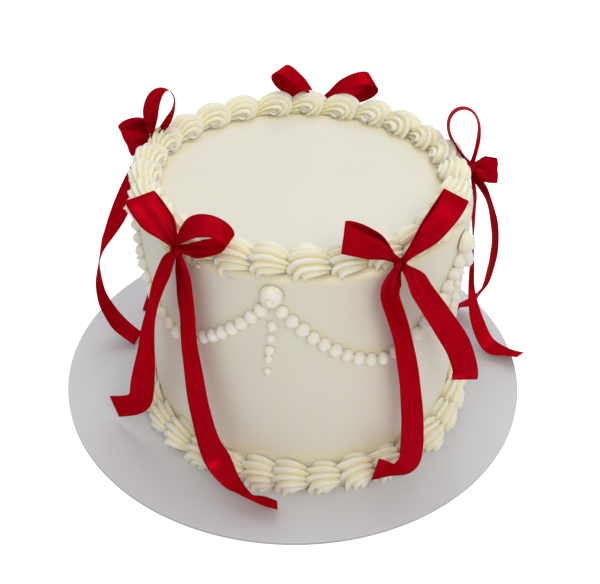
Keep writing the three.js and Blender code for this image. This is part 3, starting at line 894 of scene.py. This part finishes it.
def pearl_piece():
    random = np.random.default_rng(PEARL_SEED)
    t = np.linspace(0, 1, PEARL_ROWS)
    place = PEARL_LENGTH * t ** PEARL_STRETCH - PEARL_SEAT
    girth = np.sin(math.pi * (PEARL_CUT + (1 - PEARL_CUT) * t)) ** PEARL_FULLNESS
    build = Build()
    for angle, height, radius in pearl_places():
        along, out = rim_axes(angle + uneven(random, PEARL_ANGLE_SPREAD))
        tip = unit(out - UP * (PEARL_TIP_DROP + PEARL_TIP_SPREAD * random.random()))
        r = radius * (1 + uneven(random, PEARL_SIZE_SPREAD))
        profile = np.stack([r * place, r * girth + AXIS_RADIUS], axis=-1)
        axis = unit(out * PEARL_OUTWARDS + tip)
        points = blob(on_cake(angle, CAKE_RADIUS, height), axis, along, profile)
        points[-len(PEARL_TIP):] += (r * np.outer(PEARL_TIP, tip))[:, None, :]
        # Painted yellow shade at the pearl's foot against the cake
        shade_and_card_edge = PEARL_SHADE * falls_to(t, PEARL_SHADE_TO)
        build.grid(points, wrap_columns=True, value=shade_and_card_edge[:, None])
    return build.piece("drop_pearls", piping, "cake", "icing")


def rosette_piece(index, angle):
    """A ball of cream swirled inwards to a small nipple."""
    along, out = rim_axes(angle)
    rho = np.linspace(0, 1, ROSETTE_ROWS)[::-1][:, None]
    theta = np.linspace(0, 2 * math.pi, ROSETTE_SIDES, endpoint=False)[None, :]
    dome = np.sqrt(np.maximum(0, 1 - rho ** DOME_POWER))
    phase = (rho * SWIRL_TURNS - theta / (2 * math.pi)) % 1
    inner = smooth((rho - SWIRL_INNER) / SWIRL_INNER_FADE)
    outer = smooth((SWIRL_OUTER - rho) / SWIRL_OUTER_FADE)
    groove = bell((phase - 0.5) / SWIRL_WIDTH) * inner * outer
    nipple = bell(rho / NIPPLE_RADIUS)
    depth = ROSETTE_DEPTH * (DOME_SHARE * dome + NIPPLE_RISE * nipple) - SWIRL_DEPTH * groove
    x = ROSETTE_RADIUS * rho * np.cos(theta)
    z = ROSETTE_RADIUS * rho * np.sin(theta) - SAG * bell(rho / SAG_RADIUS)
    centre = on_cake(angle, CAKE_RADIUS + ROSETTE_SEAT, ROSETTE_HEIGHT)
    points = centre + x[..., None] * along + z[..., None] * UP + depth[..., None] * out
    # Painted yellow shade in the swirl's groove and round the rim
    shade_and_card_edge = SWIRL_SHADE * groove + ROSETTE_RIM_SHADE * rises_from(rho, ROSETTE_RIM_FROM)
    build = Build()
    build.grid(points, wrap_columns=True, value=np.clip(shade_and_card_edge, 0, 1))
    return build.piece(f"rosette_swirl_{index}", piping, f"rosette_{index}", "piping")


# The cake's smooth body
def cake_points():
    """The smooth cream's slightly uneven surface, and how much of each point is side and not top."""
    r, h, e = CAKE_RADIUS, CAKE_HEIGHT, CAKE_EDGE_ROUND
    foot = CAKE_UNDERSIDE + CAKE_FOOT_BEVEL
    profile = [[AXIS_RADIUS, CAKE_UNDERSIDE], [r - CAKE_FOOT_BEVEL, CAKE_UNDERSIDE]]
    profile += [[r, z] for z in np.linspace(foot, h - e, SIDE_ROWS)]
    round_edge = np.linspace(0, math.pi / 2, EDGE_ROWS + 1)[1:]
    profile += [[r - e + e * math.cos(a), h - e + e * math.sin(a)] for a in round_edge]
    profile += [[radius, h] for radius in np.linspace(r - e - TOP_RIM_STEP, AXIS_RADIUS, TOP_ROWS)]
    points = lathe(profile, CAKE_SIDES)
    # Adding to x, y or z moves the points themselves
    x, y, z = np.moveaxis(points, -1, 0)
    angle = np.arctan2(y, x)
    at_side = smooth((np.hypot(x, y) - r + SIDE_WAVES_FROM) / SIDE_WAVES_REACH)
    wave = sum(depth * np.sin(times * angle + turn * z + start) for depth, times, turn, start in SIDE_WAVES)
    x += np.cos(angle) * wave * at_side
    y += np.sin(angle) * wave * at_side
    top_wave = TOP_WAVE * np.sin(x / TOP_WAVE_ALONG + TOP_WAVE_START) * np.cos(y / TOP_WAVE_ACROSS)
    z += (1 - at_side) * top_wave * (z > h / 2)
    return points, at_side


def from_piping(points):
    """How far each point lies from the nearest pearl, rosette or bead on the side."""
    spots = [(on_cake(a, CAKE_RADIUS, height), size) for a, height, size in pearl_places()]
    for i in range(ROSETTE_COUNT):
        angle = ROSETTE_ANGLE + STEP_ANGLE * i
        spots.append((on_cake(angle, CAKE_RADIUS, ROSETTE_HEIGHT), ROSETTE_RADIUS))
        beads = bead_places(*swag_line(angle))[1]
        spots += [(centre, BEAD_RADIUS + BEAD_SPOT_MARGIN) for centre in beads]
    near = np.full(points.shape[:2], FAR_AWAY)
    for centre, size in spots:
        box = np.abs(points - centre).max(axis=-1) < size + SPOT_SEARCH
        near[box] = np.minimum(near[box], np.linalg.norm(points[box] - centre, axis=-1) - size)
    return near


def cake_piece():
    """The smooth cream, with painted yellow shade where piping lies against it."""
    points, at_side = cake_points()
    z = points[..., 2]
    from_ring = np.linalg.norm(points[..., :2] - TOP_BORDER["shift"], axis=-1)
    # Painted yellow shade near pearls, rosettes and beads, above the foot shells, under the top shells and on
    # the top beside its shell ring
    shade_parts = [
        SPOT_SHADE * fades(from_piping(points), SPOT_REACH),
        FOOT_SHADE * fades(z - FOOT_SHADE_HEIGHT, FOOT_REACH),
        RIM_SHADE * at_side * fades(CAKE_HEIGHT - RIM_SHADE_DROP - z, RIM_REACH),
        RIM_SHADE * (1 - at_side) * fades(TOP_RING_INNER - from_ring, TOP_RING_REACH),
    ]
    build = Build()
    build.grid(points, wrap_rows=True, value=np.maximum.reduce(shade_parts))
    return build.piece("cake_body", icing, "cake", "icing")


# Ribbon
def half_width(share):
    """Half the ribbon's width, gathered at 0 and full at 1."""
    return RIBBON_WIDTH / 2 * (RIBBON_PINCH + (1 - RIBBON_PINCH) * smooth(share))


def strip(build, centre, side, folds, from_start):
    """A ribbon with two faces and thin edges, given its middle line and half-width vectors."""
    fold, shade = folds
    tangent = unit(np.gradient(centre, axis=0))
    normal = unit(np.cross(side, tangent))
    v = np.linspace(-1, 1, ACROSS_STEPS + 1)
    length = length_along(centre)
    waves = length / RIPPLE_LENGTH
    ripple = RIPPLE_DEPTH * np.sin(2 * math.pi * waves + from_start) * smooth(waves)
    face = centre[:, None] + v[None, :, None] * side[:, None]
    face = face + (fold + ripple[:, None])[..., None] * normal[:, None]
    lift = normal[:, None] * RIBBON_THICKNESS / 2
    loop = np.concatenate([face + lift, (face - lift)[:, ::-1]], axis=1)
    from_middle = np.concatenate([v, v[::-1]]) * RIBBON_WIDTH / 2
    place = np.stack(np.broadcast_arrays((length + from_start)[:, None], from_middle[None, :]), axis=-1) * MM
    build.grid(loop, wrap_columns=True, value=np.concatenate([shade, shade[:, ::-1]], axis=1), place=place)
    build.close_ends(*loop.shape[:2])
    return length[-1]


def pleats(length, random):
    """Small lengthwise folds that fade away from the knot, and the painted shade in them near the knot."""
    v = np.linspace(-1, 1, ACROSS_STEPS + 1)[None, :]
    wave = np.cos(v * PLEAT_WAVES + random.random() * PHASE_SPREAD)
    shade = fades(length[:, None], SHADE_REACH) * (PLEAT_SHADE - PLEAT_CONTRAST * wave)
    return PLEAT_DEPTH * fades(length[:, None], PLEAT_REACH) * wave, shade


def loop_strip(build, knot, angle, loop, random, from_start):
    """A loop of ribbon that leaves the knot, opens out, turns at its far end and comes back."""
    end_along, end_out, end_up, roll, lean, opening, bend, flare, twist = loop
    along, out = rim_axes(angle)
    reach_line = along * end_along + out * end_out + UP * end_up
    reach = np.linalg.norm(reach_line)
    axis = reach_line / reach
    upright = unit(UP - (UP @ axis) * axis)
    level = np.cross(axis, upright)
    turn = math.radians(roll)
    width = upright * math.cos(turn) + level * math.sin(turn)
    across = np.cross(axis, width)

    def edge(t, v):
        q = np.sin(math.pi * t)
        x = (reach + lean * v) * q ** 2
        y = opening * (1 + flare * v) * np.sin(2 * math.pi * t) * q + bend * q ** 4
        half = v * half_width(LOOP_WIDENS * q * q)
        return knot + np.outer(x, axis) + np.outer(y, across) + np.outer(half, width)

    t = LOOP_START + (1 - 2 * LOOP_START) * np.linspace(0, 1, LOOP_STEPS + 1)
    high, low = edge(t, 1), edge(t, -1)
    centre, side = (high + low) / 2, (high - low) / 2
    tangent = unit(np.gradient(centre, axis=0))
    swing = np.radians(twist) * (1 - 2 * t)
    side = side * np.cos(swing)[:, None] + np.cross(tangent, side) * np.sin(swing)[:, None]
    length = length_along(centre)
    from_knot = np.minimum(length, length[-1] - length)
    return strip(build, centre, side, pleats(from_knot, random), from_start)


def tail_strip(build, knot, rows, face_lift, random, from_start):
    """A tail of ribbon through its rows, its faces turned at each as the row says."""
    keys = np.array([[*on_cake(*row[:3]), row[3]] for row in rows])
    keys = np.vstack([[*knot, keys[0, 3]], keys])
    share = np.linspace(0, len(rows), TAIL_STEPS + 1)
    turn = np.radians(np.interp(share, np.arange(len(rows) + 1), keys[:, 3]))
    turn = eased(turn[:, None], TURN_EASE, "edge")
    line = eased(catmull(keys[:, :3], TAIL_STEPS), LINE_EASE, "reflect", reflect_type="odd")
    tangent = unit(np.gradient(line, axis=0))
    outwards = unit(line * [1, 1, 0]) + face_lift * UP
    face = unit(outwards - (outwards * tangent).sum(1)[:, None] * tangent)
    level = np.cross(face, tangent)
    width = level * np.cos(turn) + face * np.sin(turn)
    length = length_along(line)
    side = width * half_width(length / PINCH_LENGTH)[:, None]
    return strip(build, line, side, pleats(length, random), from_start)


def knot_form(build, knot, angle, random):
    """The small knot in the middle of the bow: gathered folds and a dent, with painted shade in the dent,
    between the folds and at its ends.
    """
    along, out = rim_axes(angle)
    theta = np.linspace(0, 2 * math.pi, KNOT_SIDES, endpoint=False)[None, :]
    phi = np.linspace(-1, 1, KNOT_ROWS)[:, None]
    belly = np.sqrt(np.maximum(0, 1 - np.abs(phi) ** KNOT_SQUARENESS)) + KNOT_LEAST
    dent = bell((theta - math.pi / 2) / DENT_WIDTH + DENT_SLANT * phi)
    folds = np.sin(theta * KNOT_FOLDS + KNOT_FOLD_SLANT * phi + random.random() * PHASE_SPREAD)
    girth = 1 + KNOT_FOLD_DEPTH * folds - DENT_DEPTH * dent
    x = KNOT_RADII[0] * belly * girth * np.cos(theta)
    y = KNOT_RADII[1] * belly * girth * np.sin(theta)
    z = KNOT_RADII[2] * phi + 0 * theta
    points = knot + x[..., None] * along + y[..., None] * out + (z - KNOT_DROP)[..., None] * UP
    place = np.stack([z, theta * KNOT_GIRTH + 0 * phi], axis=-1) * MM
    # Painted shade in the dent, between the folds and at the knot's ends
    shade = DENT_SHADE * dent + KNOT_FOLD_SHADE * (1 - girth) + KNOT_END_SHADE * np.abs(phi) ** 3
    build.grid(points, wrap_columns=True, value=np.clip(shade, 0, 1), place=place)


def bow_piece(name, bow, seed):
    """A bow of one ribbon: two loops, two tails and a knot. Gives the ribbon's length outside the knot."""
    random = np.random.default_rng(seed)
    build = Build()
    angle = bow["knot"][0]
    knot = on_cake(*bow["knot"])
    total = 0.0
    for loop in bow["loops"]:
        total += loop_strip(build, knot, angle, loop, random, total)
    for rows in bow["tails"]:
        total += tail_strip(build, knot, rows, bow["face_lift"], random, total)
    knot_form(build, knot, angle, random)
    piece = build.piece(f"ribbon_{name}", satin, name, "satin")
    return total


# Everything in its place
board_piece()
cake_piece()
pearl_piece()
border_piece("top_shells", TOP_BORDER, "top_border", CAKE_HEIGHT - TOP_SHELLS_HANG)
border_piece("foot_shells", FOOT_BORDER, "foot_border", -FOOT_SUNK)
for number in range(1, ROSETTE_COUNT + 1):
    start_angle = ROSETTE_ANGLE + STEP_ANGLE * (number - 1)
    rosette_piece(number, start_angle)
    swag_piece(number, start_angle)
for index, (bow_name, bow_shape) in enumerate(BOWS.items()):
    ribbon_length = bow_piece(bow_name, bow_shape, BOW_SEED + index)
    print(bow_name, "ribbon", round(ribbon_length), "mm")


# Floor, light and camera
def turned(side, above, back, place):
    """The matrix of a lamp or camera that looks away from its back."""
    matrix = Matrix([side.tolist(), above.tolist(), back.tolist()]).transposed().to_4x4()
    matrix.translation = place
    return matrix


def area_light(name, place, size, energy, colour):
    """A round soft lamp that shines at the cake's middle."""
    lamp = bpy.data.lights.new(name, "AREA")
    lamp.shape = "DISK"
    lamp.size = size
    lamp.energy = energy
    lamp.color = colour
    obj = bpy.data.objects.new(name, lamp)
    bpy.context.scene.collection.objects.link(obj)
    forward = unit(np.array(CAKE_MIDDLE) - np.array(place))
    side = unit(np.cross(forward, UP))
    obj.matrix_world = turned(side, np.cross(side, forward), -forward, place)


def seen_by_camera(tree):
    return tree.nodes.new("ShaderNodeLightPath").outputs["Is Camera Ray"]


def pale_floor():
    """A plain floor that looks white but lights the cake no more than a pale one would."""
    corners = [(x * FLOOR_HALF, y * FLOOR_HALF, FLOOR_DROP) for x, y in ((-1, -1), (1, -1), (1, 1), (-1, 1))]
    mesh = bpy.data.meshes.new("floor")
    mesh.from_pydata(corners, [], [(0, 1, 2, 3)])
    obj = bpy.data.objects.new("floor", mesh)
    bpy.context.scene.collection.objects.link(obj)
    material = bpy.data.materials.new("pale floor")
    material.use_nodes = True
    tree = material.node_tree
    shader = tree.nodes["Principled BSDF"]
    for label, value in FLOOR_SHADER.items():
        shader.inputs[label].default_value = value
    glow = math_node(tree, "MULTIPLY", seen_by_camera(tree), FLOOR_GLOW)
    tree.links.new(glow, shader.inputs["Emission Strength"])
    mesh.materials.append(material)
    return obj


def studio():
    """Soft even light from all round, white where the camera sees it."""
    world = bpy.data.worlds.new("studio")
    bpy.context.scene.world = world
    world.use_nodes = True
    tree = world.node_tree
    background = tree.nodes["Background"]
    background.inputs["Color"].default_value = (1, 1, 1, 1)
    strength = math_node(tree, "MULTIPLY_ADD", seen_by_camera(tree), 1 - STUDIO_LIGHT, STUDIO_LIGHT)
    tree.links.new(strength, background.inputs["Strength"])


def camera_piece():
    """The camera, where the photo was taken from."""
    camera_data = bpy.data.cameras.new("camera")
    camera_data.lens = LENS
    camera_data.clip_start = CAMERA_NEAR
    camera = bpy.data.objects.new("camera", camera_data)
    bpy.context.scene.collection.objects.link(camera)
    bpy.context.scene.camera = camera
    pitch, yaw, roll = (math.radians(degrees) for degrees in (PITCH_DEGREES, YAW_DEGREES, ROLL_DEGREES))
    forward = np.array([math.sin(yaw) * math.cos(pitch), math.cos(yaw) * math.cos(pitch), -math.sin(pitch)])
    level = np.array([math.cos(yaw), -math.sin(yaw), 0.0])
    upright = np.cross(level, forward)
    side = math.cos(roll) * level + math.sin(roll) * upright
    above = math.cos(roll) * upright - math.sin(roll) * level
    camera.matrix_world = turned(side, above, -forward, EYE)


floor = pale_floor()
studio()
for lamp in LAMPS:
    area_light(*lamp)
camera_piece()

view = bpy.context.scene.view_settings
view.view_transform = "Standard"
view.look = "None"
